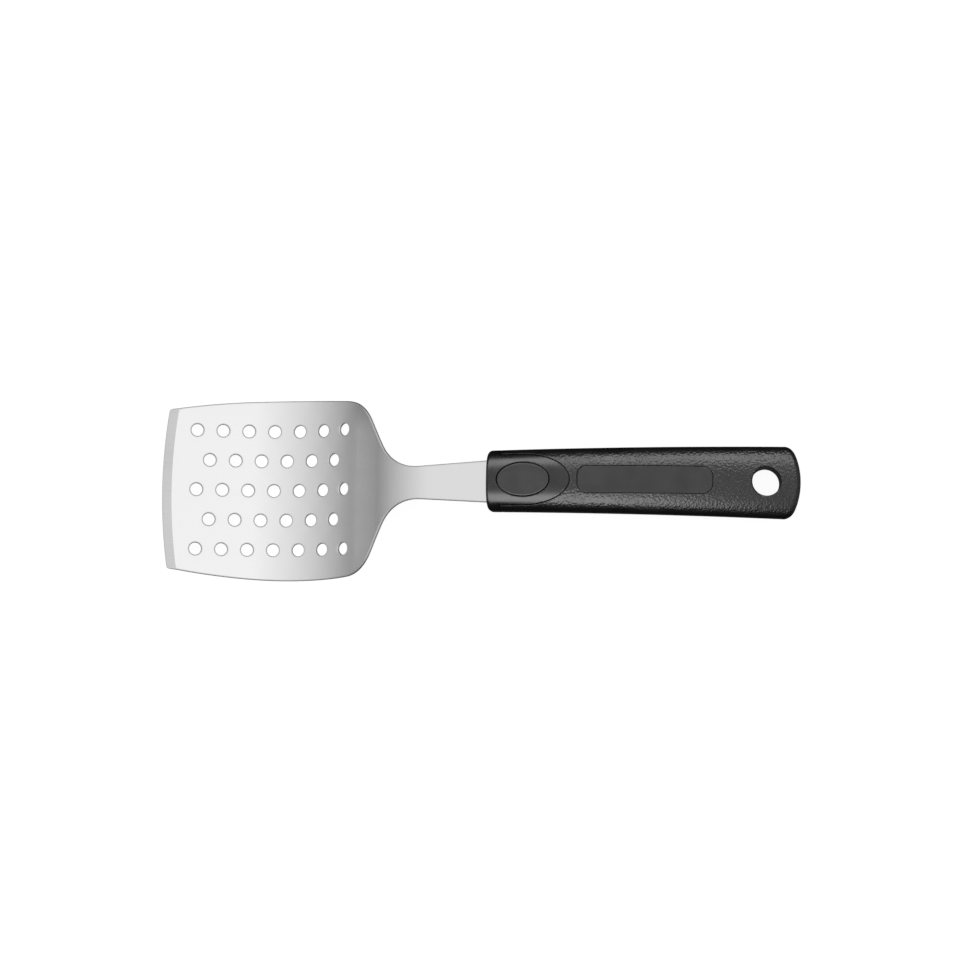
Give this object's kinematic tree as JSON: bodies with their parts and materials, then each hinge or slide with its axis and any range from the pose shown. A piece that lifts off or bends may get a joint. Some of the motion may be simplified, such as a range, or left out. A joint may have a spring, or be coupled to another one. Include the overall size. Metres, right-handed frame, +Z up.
{
  "type": "grill spatula",
  "caption": "Perforated steel grill spatula with a ground leading edge, a cranked neck and an arched black grip with a thumb rest and a hanging hole.",
  "frame": {"origin": "centre of the bounding box's base, on the table that the spatula lies on", "axes": "+X from the leading edge towards the butt, +Y across the blade, +Z up, away from the table; it rests on the blade's heel and the butt's lower edge"},
  "size_m": [0.2636, 0.0748, 0.0332],
  "materials": {
    "satin_steel": "satin, ground strip along the leading edge",
    "hard_plastic": "smooth satin moulding",
    "grained_grip": "fine pebble grain",
    "smooth_pad": "smooth matte",
    "satin_plate": "fine satin, blank",
    "pin_steel": "as turned, hidden"
  },
  "bodies": {
    "root": {"blade": "satin_steel", "handle_core": "hard_plastic", "grip_skin": "grained_grip", "thumb_pad": "smooth_pad", "label_plate": "satin_plate", "tang_pin_front": "pin_steel", "tang_pin_rear": "pin_steel"}
  },
  "joints": []
}
